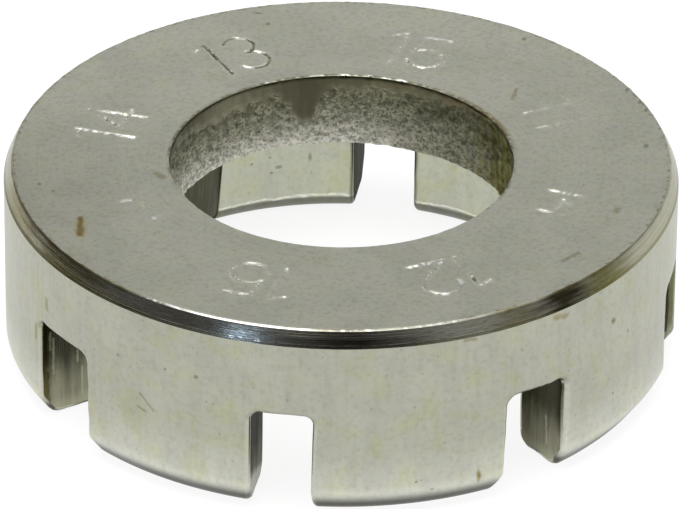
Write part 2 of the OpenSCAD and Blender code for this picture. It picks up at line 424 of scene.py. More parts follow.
def edge_steps(i, across, radius, places):
    """Offsets and depths over slot i's rounded edge, which varies a little, as a hand-dressed edge does."""
    worn = np.interp(across, (-1, 1), EDGE_WEARS[i])
    size = radius * worn * (1 + 0.22 * grain(places, 1.1, 3) + 0.16 * grain(places, 0.35, 4))
    return [(size * (1 - math.cos(tilt)), size * (1 - math.sin(tilt))) for tilt in EDGE_ANGLES]


def edge_wear(middle):
    """Wear of a patch that lies between two rounded edges, with so many rows in the middle."""
    wear_and_glint = list(np.sin(2 * EDGE_ANGLES))
    return np.array(wear_and_glint + [0] * middle + wear_and_glint[::-1])


def slot_rows(mm, i):
    """Rows of points from the outer wall through slot i to the inner wall."""
    across, up, out_across, out_up = slot_outline(mm, i).T
    centre = i * PITCH

    def rounded(radius, edge, inwards):
        places = polar(centre + np.arcsin(across / radius), radius, up)
        for offset, depth in edge_steps(i, across, edge, places):
            at = radius + inwards * depth
            yield polar(centre + np.arcsin((across + out_across * offset) / at), at, up + out_up * offset)

    outer = list(rounded(mm.outer_radius, mm.outer_edge, -1))
    inner = list(rounded(mm.inner_radius, mm.inner_edge, 1))[::-1]
    return np.array([*outer, *between(outer[-1], inner[0], ACROSS_STEPS), *inner])


def wall_loop(mm, slots, row):
    """The closed loop where a wall of the ring ends: along each slot's edge, then over the jaw after it."""
    turned, azimuths, heights, slot_columns = [], [], [], []
    for i, slot in enumerate(slots):
        at = np.unwrap(np.arctan2(slot[row][:, 0], -slot[row][:, 1]))
        turned.append(at + TURN * round((i * PITCH - at.mean()) / TURN))
    turned.append(turned[0] + TURN)
    for slot, here, following in zip(slots, turned, turned[1:]):
        jaw = between(here[-1], following[0], JAW_STEPS)
        slot_columns.append(np.arange(len(here)) + sum(map(len, azimuths)))
        azimuths += [here, jaw]
        heights += [slot[row][:, 2], np.full_like(jaw, mm.seam)]
    return np.concatenate(azimuths), np.concatenate(heights), slot_columns


def evened(azimuths, heights, radius, anchors):
    """Azimuths spread evenly along a loop between anchor columns, which keep their own."""
    steps = np.hypot(wrapped(np.roll(azimuths, -1) - azimuths), (np.roll(heights, -1) - heights) / radius)
    run = np.concatenate([[0], np.cumsum(steps)])
    fair = TURN * run[:-1] / run[-1]
    drift = azimuths - fair
    return fair + np.interp(run[:-1], run[anchors], drift[anchors], period=run[-1])


def ruled(azimuths, heights, level_azimuths, level, radius):
    """Rows on a wall between its uneven end and a level row, without the end itself, nearest to it first."""
    turned = np.linspace(azimuths, level_azimuths, WALL_STEPS + 1)
    return polar(turned, radius, np.linspace(heights, level, WALL_STEPS + 1))[1:]


def numeral_lines(mm, value, tall, gap):
    """The lines of a pair of numerals as point pairs: the pair is centred on x = 0 and stands on y = 0."""
    wide, found = mm.numeral_width, []

    def line(x, *points):
        path = np.array(points, float) + [x, 0]
        found.extend(zip(path[:-1], path[1:]))

    def bow(centre, radius, start, end):
        angles = np.radians(np.linspace(start, end, 2 + int(abs(end - start) // BOW_STEP)))
        line(right, *(np.array(centre) + radius * np.stack([np.cos(angles), np.sin(angles)], -1)))

    second = value - 10
    second_wide = mm.flag if second == 1 else wide
    left = -(mm.flag + gap + second_wide) / 2
    right = left + mm.flag + gap
    flag_end = tall * 0.88
    for x in (left,) + ((right,) if second == 1 else ()):
        line(x, (mm.flag, 0), (mm.flag, tall))
        line(x, (0, flag_end), (mm.flag, tall))
    if second == 0:
        radius = (wide - mm.flag / 2) / 2
        bow((radius, radius), radius, 180, 360)
        bow((radius, tall - radius), radius, 0, 180)
        for x in (right, right + 2 * radius):
            line(x, (0, radius), (0, tall - radius))
    if second == 2:
        radius, turn = wide / 2, math.radians(-35)
        bow((radius, tall - radius), radius, -35, 190)
        bow_end = (radius + radius * math.cos(turn), tall - radius + radius * math.sin(turn))
        line(right, (wide, 0), (0, 0), bow_end)
    if second == 3:
        upper, lower = tall * 0.24, tall * 0.26
        bow((wide / 2, tall - upper), upper, -90, 150)
        bow((wide / 2, lower), lower, -150, 90)
    if second == 4:
        stem, bar = wide * 0.72, tall * 0.32
        line(right, (stem, 0), (stem, tall), (0, bar), (wide, bar))
    if second == 5:
        neck, bar_start, bar_end = (wide * 0.08, tall * 0.52), wide * 0.16, wide * 0.86
        bow((wide / 2, wide / 2), wide / 2, -160, 145)
        line(right, neck, (bar_start, tall), (bar_end, tall))
    return found


def distance_to_lines(x, y, lines):
    """The least distance from points to any of the lines."""
    best = np.inf
    for start, end in lines:
        reach = end - start
        along = np.clip(((x - start[0]) * reach[0] + (y - start[1]) * reach[1]) / (reach @ reach), 0, 1)
        best = np.minimum(best, np.hypot(x - start[0] - along * reach[0], y - start[1] - along * reach[1]))
    return best


def stamp(mm, azimuths, radii):
    """Height above the face, painted glints, pressure and dirt of the numerals at a grid of radii by azimuths.
    """
    around, out = np.meshgrid(azimuths, radii)
    height, wear_and_glint, pressed, dirt = (np.zeros_like(around) for _ in range(4))
    half = mm.line_width / 2
    places = polar(around, out, 0)
    shake = grain(places, 0.12, 11)
    patchy = np.clip(0.6 + 0.7 * grain(places, 0.9, 12) + 0.7 * grain(places, 0.24, 13), 0.08, 1.3)
    for i, gauge in enumerate(GAUGES):
        past = wrapped(around - i * PITCH + math.radians(STAMP_LAGS[i]))
        x, y = -out * np.sin(past), out * np.cos(past) - mm.numeral_foot - STAMP_SHIFTS[i]
        tall, gap = mm.numeral_height * STAMP_TALLS[i], mm.numeral_gap * STAMP_GAPS[i]
        near = distance_to_lines(x, y, numeral_lines(mm, gauge, tall, gap)) + 0.03 * shake
        glint = np.zeros_like(x)
        for across, up, wide, high in GLINTS[i]:
            glint = np.maximum(glint, np.exp(-((x - across) / wide) ** 2 - ((y - up) / high) ** 2))
        glint = np.clip(glint * (1.5 + 0.8 * shake) - 0.15, 0, 1)
        fade = 1 - STAMP_TILTS[i] * smooth_step(y, 1.3, 2.3)
        force = STAMP_DEPTHS[i] * fade
        deep = mm.line_depth * force * patchy
        groove = np.clip(1 - near / half, 0, 1)
        lip = np.exp(-((near - 1.3 * half) / (0.4 * half)) ** 2)
        height += np.where(near < 4 * half, -deep * groove + 0.15 * deep * lip * (1 + 0.8 * shake), 0)
        inside = np.clip(groove * 2.5, 0, 1)
        pressed = np.maximum(pressed, inside * np.minimum(patchy, 1) * force)
        wear_and_glint = np.maximum(wear_and_glint, np.clip(2.4 * inside * glint + 0.12 * lip * patchy * force, 0, 1))
        soiled = np.minimum(patchy + 0.5 * STAMP_DIRTS[i], 1) * STAMP_DIRTS[i] * fade
        soiled *= smooth_step(x, -1.3, -1.05)
        dirt = np.maximum(dirt, np.clip(3 * groove - 0.9, 0, 1) * (1 - glint) * soiled)
    return height, wear_and_glint, pressed, dirt


def stamped_azimuths():
    """Azimuths of the face's columns: fine where numerals are stamped, wide in between."""
    reach = math.radians(STAMPED_HALF)
    fine = np.linspace(-reach, reach, int(2 * reach * STAMPED_RADIUS / STAMP_STEP) + 1)
    centres = np.arange(len(GAUGES) + 1) * PITCH - np.radians(STAMP_LAGS + STAMP_LAGS[:1])
    found = []
    for centre, following in zip(centres, centres[1:]):
        room = following - centre - 2 * reach
        plain = between(0, room, max(int(room * STAMPED_RADIUS / PLAIN_STEP), 1))
        found += [centre + fine, centre + reach + plain]
    return np.concatenate(found)


def hole_rows(mm, azimuths):
    """Rows up the punched hole, with their marks: the torn part, the smooth band above it, and the burr."""
    levels = np.linspace(mm.web_under + HOLE_START, mm.height - HOLE_END, HOLE_ROWS)
    around, up = np.meshgrid(azimuths, levels)
    places = polar(around, mm.hole_radius, up)
    level = polar(around, mm.hole_radius, 0)
    band_end = mm.height - mm.band * np.interp(np.degrees(around) % 360, *zip(*BAND_DEPTHS), period=360) * (
        1 + 0.1 * grain(level, 4.5, 31) + 0.18 * grain(level, 0.9, 32) + 0.14 * grain(level, 0.3, 33))
    # A smear of the band hangs down like a tongue at the back
    tongue = np.radians(turned_from(around, 203)) * mm.hole_radius
    tongue *= 1 + 0.45 * grain(places, 0.9, 30) + 0.25 * grain(places, 0.3, 29)
    tongue = 1 - tongue / 1.7
    band_end -= 1.9 * np.clip(tongue, 0, 1) ** 1.3
    ragged = 0.3 * grain(places, 0.5, 38) + 0.2 * grain(places, 0.2, 39)
    tear = smooth_step(band_end - up + ragged, -0.1, 0.4)
    opening = (band_end - up) / (mm.web - mm.band)
    rough = 0.3 * grain(places, 0.62, 34) + 0.5 * grain(places, 0.3, 35) + 0.5 * grain(places, 0.18, 36)
    drawn = grain(places * [1, 1, 0.15], 0.3, 37)
    radius = mm.hole_radius + tear * (mm.torn * (1 + rough) + 0.14 * opening) + (1 - tear) * 0.008 * drawn
    burr = 0.26 * smooth_step(turned_from(azimuths, 275), 42, 20)
    jag = 0.8 * grain(level[0], 0.2, 41) + 0.5 * grain(level[0], 0.42, 40) + 0.4 * grain(level[0], 1.1, 42)
    foot = [
        polar(azimuths, radius[0] + out, mm.web_under + rise - burr * hang) for out, rise, hang in FOOT_ROWS]
    top = [
        polar(azimuths, mm.hole_radius + out + swing * jag, mm.height + rise + lift * jag)
        for out, swing, rise, lift in BURR_ROWS]
    rows = np.array(foot + list(polar(around, radius, up)) + top)
    tears = np.zeros(rows.shape[:2])
    tears[:len(foot)] = 1
    tears[len(foot):-len(top)] = tear
    painted_glints, dirts = np.zeros_like(tears), np.zeros_like(tears)
    # A painted glint runs along the burr at the back of the hole
    ridge = slice(1 - len(top), -1)
    painted_glints[ridge] = np.clip(0.35 + 1.5 * jag, 0, 1) * smooth_step(turned_from(azimuths, 185), 43, 35)
    dirts[ridge] = np.clip(0.4 - 0.8 * jag, 0, 1) * smooth_step(turned_from(azimuths, 0), 50, 80)
    dirts[-len(top)] = 1
    dirts[len(foot):-len(top)] = np.clip(0.3 + tongue, 0, 1) * (1 - tear) * 0.6
    return rows, (painted_glints, tears, dirts)


def rim_rows(mm, azimuths):
    """Rows over the burred rim of the face, and those down the turned chamfer, with their marks."""
    ring = polar(azimuths, mm.outer_radius, mm.height)
    jag = grain(ring, 0.5, 51) + 0.6 * grain(ring, 2.5, 52)
    beads = grain(ring, 0.24, 53)
    # A painted highlight runs along the rim at the front, evenly at its left and in beads elsewhere
    bright = smooth_step(turned_from(azimuths, 2), 31, 27)
    dashes = 0.6 + 0.4 * smooth_step(turned_from(azimuths, -10.5), 13, 6)
    painted_glints = np.clip(2.3 * bright * dashes - 1 + 0.6 * jag + 1.6 * beads * (1.4 - dashes), 0, 1) * bright
    dirts = np.clip(0.5 + 0.7 * jag + 0.5 * beads, 0, 1) * (1 - bright)
    dirts *= 1 - 0.7 * smooth_step(turned_from(azimuths, 82), 26, 12)
    rim = [
        polar(azimuths, mm.face_end - 0.06 - 0.03 * jag - 0.02 * bright, mm.height + 0.002 * jag),
        polar(azimuths, mm.face_end + 0.02 + 0.015 * beads, mm.height - 0.03 + 0.01 * beads)]
    down = np.array(CHAMFER_ROWS)[:, None]
    ripple = (0.005 * np.sin(down * 17) + 0.025 * np.sin(math.pi * down)) * (down < 0.95)
    out = mm.face_end + mm.chamfer_width * down + ripple
    chamfer = polar(azimuths, out, mm.height - mm.chamfer_height * down)
    rim_marks = np.outer((0.2, 1), painted_glints), 0, np.outer((0.35, 1), dirts)
    return (rim, *rim_marks), (chamfer, 0, 0, np.clip(1 - 4 * down, 0, 1) * dirts)


def face_ring_skin(mm):
    """The whole face ring, row by row along its section from the inner seam round to the outer one."""
    skin = Skin()
    slots = [slot_rows(mm, i) for i in range(len(GAUGES))]
    outer_at, outer_up, slot_columns = wall_loop(mm, slots, 0)
    inner_at, inner_up, _ = wall_loop(mm, slots, -1)
    anchors = np.ravel([(each[len(each) // 2], each[-1] + JAW_STEPS // 2) for each in slot_columns])
    outer_even = evened(outer_at, outer_up, mm.outer_radius, anchors)
    inner_even = evened(inner_at, inner_up, mm.inner_radius, anchors)

    # Inner wall, round corner and underside of the web
    corner_start = mm.web_under - mm.inside_corner
    inner_loop = skin.points(polar(inner_at, mm.inner_radius, inner_up))
    bend = np.linspace(0, math.pi / 2, WALL_STEPS + 1)[1:, None]
    rows = np.vstack([
        inner_loop[None],
        skin.points(ruled(inner_at, inner_up, inner_even, corner_start, mm.inner_radius)),
        skin.points(polar(
            inner_even, mm.inner_radius - mm.inside_corner * (1 - np.cos(bend)),
            corner_start + mm.inside_corner * np.sin(bend))),
        skin.points(polar(inner_even, mm.inner_radius - np.array(UNDER_ROWS)[:, None], mm.web_under))])
    skin.sheet(rows, PLATED, closed=True)

    # The punched hole
    hole_at = outer_even[0] + np.linspace(0, TURN, HOLE_COLUMNS, endpoint=False)
    cloud, marks = hole_rows(mm, hole_at)
    hole = skin.points(cloud, *marks)
    skin.stitch(rows[-1], hole[0], inner_even, hole_at, PLATED)
    skin.sheet(hole[:1 - len(BURR_ROWS)], PUNCHED, closed=True)
    skin.sheet(hole[-len(BURR_ROWS):], TURNED, closed=True)

    # The turned face with its stamped numerals
    plain = skin.points(polar(hole_at, mm.hole_radius + np.array(HOLE_SIDE_ROWS)[:, None], mm.height))
    skin.sheet(np.vstack([hole[-1:], plain]), TURNED, closed=True)
    stamped_at = stamped_azimuths()
    stamped_radii = np.arange(*(mm.numeral_foot + reach for reach in STAMPED_REACH), STAMP_ROW_STEP)
    relief, *marks = stamp(mm, stamped_at, stamped_radii)
    stamped = skin.points(polar(stamped_at, stamped_radii[:, None], mm.height + relief), *marks)
    skin.stitch(plain[-1], stamped[0], hole_at, stamped_at, TURNED)
    skin.sheet(stamped, TURNED, closed=True)

    # The rest of the face, its burred rim and the turned chamfer
    out = np.append(mm.outer_radius - np.array(RIM_SIDE_ROWS), mm.face_end - FACE_GAP)[:, None]
    plain = skin.points(polar(outer_even, out, mm.height))
    skin.stitch(stamped[-1], plain[0], stamped_at, outer_even, TURNED)
    skin.sheet(plain, TURNED, closed=True)
    rim, chamfer = (skin.points(*rows_and_marks) for rows_and_marks in rim_rows(mm, outer_even))
    skin.sheet(np.vstack([plain[-1:], rim[:1]]), TURNED, closed=True)
    skin.sheet(np.vstack([rim, chamfer]), CHAMFER, closed=True)

    # The outer wall down to the slots and the seam
    levels = mm.height - np.array([mm.chamfer_height + WALL_GAP, *WALL_ROWS])[:, None]
    wall = skin.points(polar(outer_even, mm.outer_radius, levels))
    outer_loop = skin.points(polar(outer_at, mm.outer_radius, outer_up))
    lower = ruled(outer_at, outer_up, outer_even, mm.height - LAST_LEVEL_ROW, mm.outer_radius)
    lower = skin.points(lower[::-1])
    skin.sheet(np.vstack([chamfer[-1:], wall, lower, outer_loop[None]]), PLATED, closed=True)

    # Through each slot, then the flat seams to the jaws
    wear_and_glint = edge_wear(ACROSS_STEPS - 1)[1:-1, None]
    sides = []
    for cloud, columns in zip(slots, slot_columns):
        inside = skin.points(cloud[1:-1], wear_and_glint)
        numbers = np.vstack([outer_loop[columns][None], inside, inner_loop[columns][None]])
        skin.sheet(numbers[:EDGE_STEPS + 1], PLATED)
        skin.sheet(numbers[EDGE_STEPS:EDGE_STEPS + ACROSS_STEPS + 1], BROACHED)
        skin.sheet(numbers[EDGE_STEPS + ACROSS_STEPS:], PLATED)
        sides.append((numbers[:, 0], numbers[:, -1]))
    for columns, side, following in zip(slot_columns, sides, sides[1:] + sides[:1]):
        over = (columns[-1] + np.arange(JAW_STEPS + 1)) % len(outer_loop)
        skin.sheet(np.stack([outer_loop[over], inner_loop[over]]), PLATED)
        skin.face(side[1], PLATED)
        skin.face(following[0], PLATED, flip=True)
    return skin


def rounded_path(corners, radii, straight_steps, bend_steps):
    """Points along a path that bends to the right, and their outward ways. Each inner corner is rounded."""
    corners = np.array(corners, float)
    ways = np.diff(corners, axis=0)
    ways /= np.linalg.norm(ways, axis=1)[:, None]
    points, outs = [], []
    start = corners[0]
    for way, following, corner, radius, straight, bends in zip(
            ways, [*ways[1:], ways[-1]], corners[1:], [*radii, 0], straight_steps, [*bend_steps, 0]):
        out = np.array([-way[1], way[0]])
        turn = math.acos(np.clip(way @ following, -1, 1))
        trim = radius * math.tan(turn / 2)
        end = corner - way * trim
        for s in np.arange(straight) / straight:
            points.append(start * (1 - s) + end * s)
            outs.append(out)
        for bend in -turn * np.arange(bends) / max(bends, 1):
            c, n = math.cos(bend), math.sin(bend)
            direction = np.array([c * out[0] - n * out[1], n * out[0] + c * out[1]])
            points.append(end + (direction - out) * radius)
            outs.append(direction)
        start = corner + following * trim
    return np.array([*points, end]), np.array([*outs, out])


def jaw_skin(mm, i):
    """Jaw i: its section is swept from slot i to the next slot, and rounded along both slots' edges."""
    skin = Skin()
    straight_steps, bend_steps = (5, 3, ACROSS_STEPS, 5), (4, 3, 10)
    half_rows = sum(straight_steps[:2] + bend_steps[:2])
    path, outs = rounded_path(
        [(mm.outer_radius, mm.seam), (mm.outer_radius, mm.foot_chamfer),
         (mm.outer_radius - mm.foot_chamfer_width, 0), (mm.inner_radius, 0), (mm.inner_radius, mm.seam)],
        (*mm.foot_bends, mm.foot_round), straight_steps, bend_steps)
    radius, height = path.T
    blend = np.clip((np.arange(len(path)) - half_rows) / ACROSS_STEPS, 0, 1)
    edge = mm.outer_edge + (mm.inner_edge - mm.outer_edge) * blend

    def side(slot, sign):
        """Rows of points over a slot's rounded edge from its flat side, and the azimuths where they end."""
        turn = slot % len(GAUGES)
        half = mm.slot_widths[turn] / 2 + sign * leant(turn, sign, height)
        places = polar(slot * PITCH + sign * np.arcsin(half / radius), radius, height)
        found = []
        for offset, depth in edge_steps(turn, sign * half, edge, places)[::-1]:
            r, z = radius - outs[:, 0] * depth, height - outs[:, 1] * depth
            limit = slot * PITCH + sign * np.arcsin((half + offset) / r)
            found.append(polar(limit, r, z))
        return found, limit

    left, left_at = side(i, 1)
    right, right_at = side(i + 1, -1)
    swept = polar(between(left_at, right_at, JAW_STEPS), radius, height)
    grid = skin.points(np.stack([*left, *swept, *right[::-1]], 1), edge_wear(len(swept)))
    skin.sheet(grid, PLATED)

    # The flat sides that the slots leave, and the flat seam to the face ring
    cloud = np.vstack(skin.clouds)
    seam_ends = []
    for column, flip in ((0, True), (-1, False)):
        start, foot, end = np.split(grid[:, column], [half_rows, half_rows + ACROSS_STEPS + 1])
        lines = [
            [a, *skin.points(between(cloud[a], cloud[b], ACROSS_STEPS)), b] for a, b in zip(start, end[::-1])]
        skin.sheet(np.array([*lines, foot]), BROACHED, flip=flip)
        seam_ends.append(lines[0])
    steps = EDGE_STEPS
    skin.sheet(grid[[0, -1], steps:-steps], PLATED, flip=True)
    skin.face([*grid[0, steps:0:-1], *seam_ends[0], *grid[-1, 1:steps + 1]], PLATED, flip=True)
    skin.face([*grid[0, -steps - 1:-1], *seam_ends[1], *grid[-1, -2:-steps - 2:-1]], PLATED)
    return skin


def both_ways(operation):
    """An operator's method and its reflected form."""
    def plain(self, other):
        return self.maths(operation, self, other)

    def reflected(self, other):
        return self.maths(operation, other, self)

    return plain, reflected


class Value:
    """A socket of a node, so that the maths of a material reads as plain expressions."""

    __add__, __radd__ = both_ways("ADD")
    __sub__, __rsub__ = both_ways("SUBTRACT")
    __mul__, __rmul__ = both_ways("MULTIPLY")
    __truediv__, __rtruediv__ = both_ways("DIVIDE")
    __pow__, __rpow__ = both_ways("POWER")

    def __init__(self, nodes, socket):
        self.nodes, self.socket = nodes, socket

    def maths(self, operation, *values):
        return self.nodes.node("ShaderNodeMath", {"operation": operation}, values)

    def __abs__(self):
        return self.maths("ABSOLUTE", self)

    def highest(self, other):
        return self.maths("MAXIMUM", self, other)

    def rise(self, low, high):
        """Runs smoothly from 0 at low to 1 at high, which may be the lower number."""
        return self.nodes.node("ShaderNodeMapRange", {"interpolation_type": "SMOOTHSTEP"}, {
            "Value": self, "From Min": low, "From Max": high})

    def near(self, centre, reach):
        """Falls smoothly from 1 at the centre to 0 at the reach, either way."""
        return abs(self - centre).rise(reach, 0)

    def out(self, which):
        """Another output of the same node."""
        return Value(self.nodes, self.socket.node.outputs[which])

    def red(self):
        """The red part of the same node's colour, as one more random value."""
        return self.nodes.node("ShaderNodeSeparateColor", None, (self.out("Color"),))


class Nodes:
    """Builds a node tree."""

    def __init__(self, tree):
        self.tree = tree
        tree.nodes.clear()

    def node(self, kind, settings=None, inputs=(), output=0):
        """Adds a node: its settings first, then the values or links of its sockets, by place or by name."""
        made = self.tree.nodes.new(kind)
        for name, value in (settings or {}).items():
            setattr(made, name, value)
        for key, value in inputs.items() if isinstance(inputs, dict) else enumerate(inputs):
            socket = made.inputs[key]
            if isinstance(value, Value):
                self.tree.links.new(value.socket, socket)
            else:
                socket.default_value = (*value, 1) if socket.type == "RGBA" else value
        return Value(self, made.outputs[output])

    def end(self, kind, surface):
        """Leads a shader to the tree's output."""
        self.tree.links.new(surface.socket, self.tree.nodes.new(kind).inputs["Surface"])

    def vector(self, operation, *values, output=0):
        return self.node("ShaderNodeVectorMath", {"operation": operation}, values, output)

    def scaled(self, vector, scale):
        return self.node("ShaderNodeVectorMath", {"operation": "SCALE"}, {0: vector, "Scale": scale})

    def mix(self, factor, first, second, blend="MIX"):
        """From the first colour to its blend with the second as the factor goes from 0 to 1."""
        return self.node("ShaderNodeMix", {"data_type": "RGBA", "blend_type": blend}, {
            0: factor, 6: first, 7: second}, 2)


class Finish(Nodes):
    """A steel finish, laid in coats over a first colour, with its place on the wrench in millimetres."""

    def __init__(self, name, first):
        self.material = bpy.data.materials.new(name)
        self.material.use_nodes = True
        super().__init__(self.material.node_tree)
        self.tint = first
        self.place = self.scaled(self.node("ShaderNodeTexCoord", None, (), "Object"), 1 / MM)
        self.x = self.node("ShaderNodeSeparateXYZ", None, (self.place,))
        self.y, self.z = self.x.out(1), self.x.out(2)
        self.radius = (self.x * self.x + self.y * self.y) ** 0.5
        self.azimuth = self.x.maths("ARCTAN2", self.x, 0 - self.y) * (180 / math.pi)

    def mark(self, name):
        """One of the marks that the skins carry: worn edges with painted glints, tear or dirt."""
        return self.node("ShaderNodeAttribute", {"attribute_name": name}, (), "Fac")

    def coat(self, tint, mask):
        """Covers the colours so far with another, as far as the mask says."""
        self.tint = self.mix(mask, self.tint, tint)

    def stain(self, tint, mask):
        """Multiplies the colours so far by another, as far as the mask says. One number stands for a grey."""
        tint = tint if hasattr(tint, "__len__") else (tint,) * 3
        self.tint = self.mix(mask, self.tint, tint, "MULTIPLY")

    def noise(self, scale, detail=2.0, roughness=0.5, upright=1, place=None):
        """Noise on the wrench, or at another place. A small upright share draws it out from top to bottom."""
        if upright < 1:
            place = self.vector("MULTIPLY", self.place, (1, 1, upright))
        return self.node("ShaderNodeTexNoise", None, {
            "Vector": place or self.place, "Scale": scale, "Detail": detail, "Roughness": roughness})

    def line_noise(self, along, scale, detail=2.0):
        return self.node("ShaderNodeTexNoise", {"noise_dimensions": "1D"}, {
            "W": along, "Scale": scale, "Detail": detail})

    def spots(self, ragged, marks, core=0.4):
        """A mask of ragged marks, each as its centre and its reach along each axis, in millimetres."""
        shake = (self.noise(3.0, 3.0) - 0.5) * (2 * ragged)

        def spot(mark):
            gap = self.vector("DIVIDE", self.vector("SUBTRACT", self.place, mark[:3]), mark[3:])
            return (self.vector("LENGTH", gap, output="Value") + shake).rise(1.15, core)

        return reduce(Value.highest, map(spot, marks))

    def strokes(self, ragged, lines):
        """A mask of strokes, each as its two ends and its reach to the sides, in millimetres."""
        shake = (self.noise(4.0) - 0.5) * (2 * ragged)

        def stroke(line):
            start, end, reach = Vector(line[:3]), Vector(line[3:6]), line[6]
            way = end - start
            gap = self.vector("SUBTRACT", self.place, start)
            along = self.vector("DOT_PRODUCT", gap, way / way.length_squared, output="Value")
            foot = self.scaled(way, self.node("ShaderNodeClamp", None, (along,)))
            far = self.vector("LENGTH", self.vector("SUBTRACT", gap, foot), output="Value") / reach
            return (far + shake).rise(1.15, 0.2)

        return reduce(Value.highest, map(stroke, lines))

    def pits(self, size, rarity):
        """A mask of small round pits, of about that size in millimetres. The higher the rarity, the fewer."""
        cells = self.node("ShaderNodeTexVoronoi", None, {"Vector": self.place, "Scale": 1 / (4 * size)})
        return cells.rise(0.26, 0.1) * cells.red().rise(rarity, rarity + 0.02)

    def metal(self, roughness, height, depth, metallic=1.0, edge=1.0):
        """Ends the finish in metal, whose height from 0 to 1 is a relief of that depth in millimetres.

        The edge is its reflection at a flat angle, as a share.
        """
        relief = self.node("ShaderNodeBump", None, {
            "Height": height, "Strength": 1.0, "Distance": depth * MM})
        surface = self.node("ShaderNodeBsdfPrincipled", None, {
            "Base Color": self.tint, "Roughness": roughness, "Metallic": metallic, "Normal": relief,
            "Specular Tint": (edge, edge, edge)})
        self.end("ShaderNodeOutputMaterial", surface)
        return self.material


def tinted(tint, share_of_it):
    """A darker or lighter tint of the same colour."""
    return tuple(min(part * share_of_it, 1) for part in tint)


def plated_finish(name, look):
    """Satin plating on the walls: soft clouds, faint upright drawing marks, fine grain and dark specks."""
    steel = Finish(name, look.plating)
    z, wear_and_glint = steel.z, steel.mark("wear_and_glint")
    clouds, mottle = steel.noise(0.45, 4.0, 0.55), steel.noise(3.2, 4.0, 0.6)
    upright = steel.noise(2.2, 3.0, upright=0.12)
    warm = steel.noise(0.6, 3.0, 0.6).red()
    specks = steel.pits(0.09, 0.93)
    brown = steel.spots(0.5, (
        (15.95, -8.34, 7.93, 0.28, 0.28, 0.24), (9.98, -14.98, 1.75, 0.16, 0.16, 0.5),
        (17.98, -0.7, 4.6, 0.3, 0.3, 1.9)), 0.1)
    faint = steel.strokes(0.5, (
        (-13.62, -11.77, 7.9, -13.62, -11.77, 7.4, 0.22), (13.4, -12.02, 10.0, 13.85, -11.5, 9.85, 0.22),
        (9.2, -15.47, 10.2, 9.7, -15.16, 10.15, 0.14), (13.9, -11.42, 4.6, 13.93, -11.39, 1.2, 0.1),
        (-14.42, -10.77, 5.7, -14.42, -10.77, 4.9, 0.2)))
    bare_and_lit = steel.strokes(0.9, (
        (13.72, -11.58, 4.0, 13.74, -11.56, 1.3, 0.17), (14.02, -11.28, 2.6, 14.02, -11.28, 1.6, 0.09)))
    edge = steel.strokes(1.6, ((-14.02, -11.22, 5.9, -14.05, -11.18, 1.7, 0.12),))
    scratch = steel.strokes(0.2, (
        (-7.75, -16.25, 5.55, -6.95, -16.6, 4.75, 0.07), (-7.9, -16.17, 4.7, -7.4, -16.41, 4.55, 0.08)))
    dark = steel.spots(0.35, (
        (-4.54, -17.42, 7.6, 0.16, 0.16, 0.13), (-6.28, -16.87, 7.55, 0.1, 0.1, 0.1),
        (-9.03, -15.57, 7.31, 0.12, 0.12, 0.1), (16.56, -7.06, 6.59, 0.11, 0.11, 0.14),
        (16.01, -8.22, 3.4, 0.14, 0.14, 0.1), (6.93, -16.61, 2.02, 0.11, 0.11, 0.09),
        (7.72, -16.26, 1.46, 0.12, 0.12, 0.09), (-4.04, 13.3, 3.41, 0.13, 0.13, 0.3),
        (-5.69, 12.68, 2.95, 0.26, 0.26, 0.15), (-7.06, 11.97, 3.37, 0.12, 0.12, 0.1),
        (-6.06, 12.51, 2.62, 0.12, 0.12, 0.1), (-6.14, 12.47, 3.62, 0.12, 0.12, 0.08)))
    # Painted light: the jaws are lighter towards their ends, and the inside of the cup is lighter all over
    inside = steel.radius.rise(16.2, 15.2)
    steel.coat(look.rubbed_and_lit, z.rise(4.5, 1.2) * 0.9)
    steel.coat(look.inside, inside)
    # Inside, a painted highlight runs as a broken line along the jaw ends, over a foot darkened by painted
    # shade
    steel.coat(tinted(look.plating, 0.36), inside * z.rise(0.95, 0.75) * 0.9)
    line = (z + (steel.noise(0.9) - 0.5) * 0.5).near(0.97, 0.12) * (0.45 + mottle.rise(0.4, 0.6) * 0.55)
    steel.coat((0.95, 0.95, 0.85), inside * line)
    steel.stain((0.35, 0.35, 0.3), inside * z.rise(0.3, 0.08))
    # Outside, the chamfer at the foot is darkened by painted shade, under a band of painted light
    steel.coat(tinted(look.rubbed_and_lit, 1.4), (1 - inside) * z.near(1.5, 0.5) * 0.25)
    steel.stain((0.1, 0.1, 0.09), steel.radius.rise(16.9, 17.15) * z.rise(1.5, 0.5))
    # The rounded edges are lighter, partly for their worn metal and partly as a painted highlight
    steel.coat(tinted(look.rubbed_and_lit, 1.1), wear_and_glint * 0.35)
    # Painted shade: the slots' inner edges, and those at their roots and feet, are dark
    edge_shade = steel.radius.rise(14.4, 14.1).highest(z.rise(5.4, 5.9) * 0.5).highest(z.rise(1.0, 0.6))
    steel.stain((0.3, 0.3, 0.26), wear_and_glint * edge_shade)
    # Clouds of warmer and cooler plating, with a fine mottle
    steel.stain((0.92, 0.92, 0.93), clouds.rise(0.65, 0.35))
    steel.stain((1.0, 0.99, 0.83), warm.rise(0.48, 0.66) * 0.8)
    steel.stain((0.98, 0.95, 0.98), warm.rise(0.45, 0.35) * 0.6)
    steel.coat((0.95, 0.92, 0.78), bare_and_lit * 0.7)
    steel.stain((0.9, 0.89, 0.87), mottle.rise(0.45, 0.7))
    steel.stain((0.9, 0.9, 0.88), upright.rise(0.4, 0.65) * 0.5)
    steel.coat(look.dirt, (dark * 0.5).highest(specks * 0.25).highest(scratch * 0.45))
    steel.stain(look.rust, (brown * 0.9).highest(faint * 0.5))
    steel.coat(look.oil, edge * 0.9)
